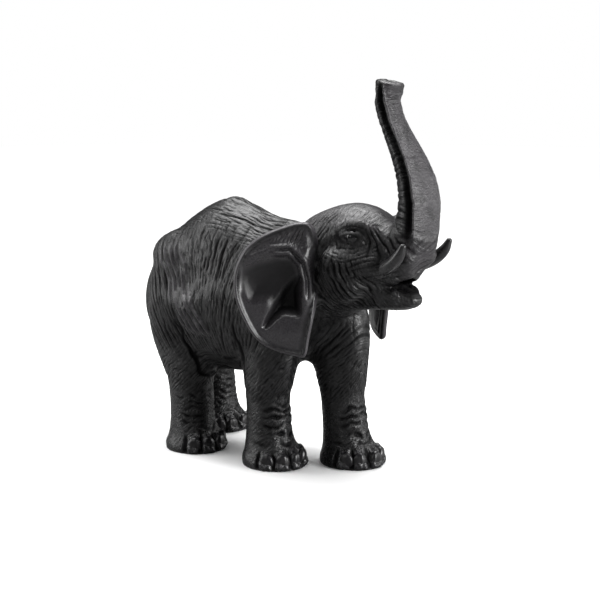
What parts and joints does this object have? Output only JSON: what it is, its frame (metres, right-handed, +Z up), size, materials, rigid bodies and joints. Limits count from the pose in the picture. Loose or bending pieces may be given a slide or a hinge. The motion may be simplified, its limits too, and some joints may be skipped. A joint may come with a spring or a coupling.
{
  "type": "elephant figurine",
  "caption": "Dark carved wooden elephant standing in mid-stride with raised trunk, open mouth, short tusks and cupped ears.",
  "frame": {"origin": "bottom centre of the figure's bounding box, on the surface it stands on", "axes": "+X towards the head and the raised trunk, +Y to the animal's left, +Z up"},
  "size_m": [0.269, 0.1496, 0.2722],
  "materials": {
    "ebonised_wood": "satin, dark stain with rubbed ridges",
    "tusk_wood": "smooth polished",
    "eye_bead": "gloss",
    "toenail_wood": "polished",
    "dowel_wood": "bare"
  },
  "bodies": {
    "root": {"torso": "ebonised_wood", "head": "ebonised_wood", "trunk": "ebonised_wood", "leg_front_left": "ebonised_wood", "leg_front_right": "ebonised_wood", "leg_rear_left": "ebonised_wood", "leg_rear_right": "ebonised_wood", "ear_left": "ebonised_wood", "ear_right": "ebonised_wood", "tail": "ebonised_wood", "tusk_left": "tusk_wood", "tusk_right": "tusk_wood", "eye_left": "eye_bead", "eye_right": "eye_bead", "toenails_front_left": "toenail_wood", "toenails_front_right": "toenail_wood", "toenails_rear_left": "toenail_wood", "toenails_rear_right": "toenail_wood", "leg_dowels_front_left": "dowel_wood", "leg_dowels_front_right": "dowel_wood", "leg_dowels_rear_left": "dowel_wood", "leg_dowels_rear_right": "dowel_wood", "neck_dowels": "dowel_wood", "trunk_dowel": "dowel_wood"}
  },
  "joints": []
}
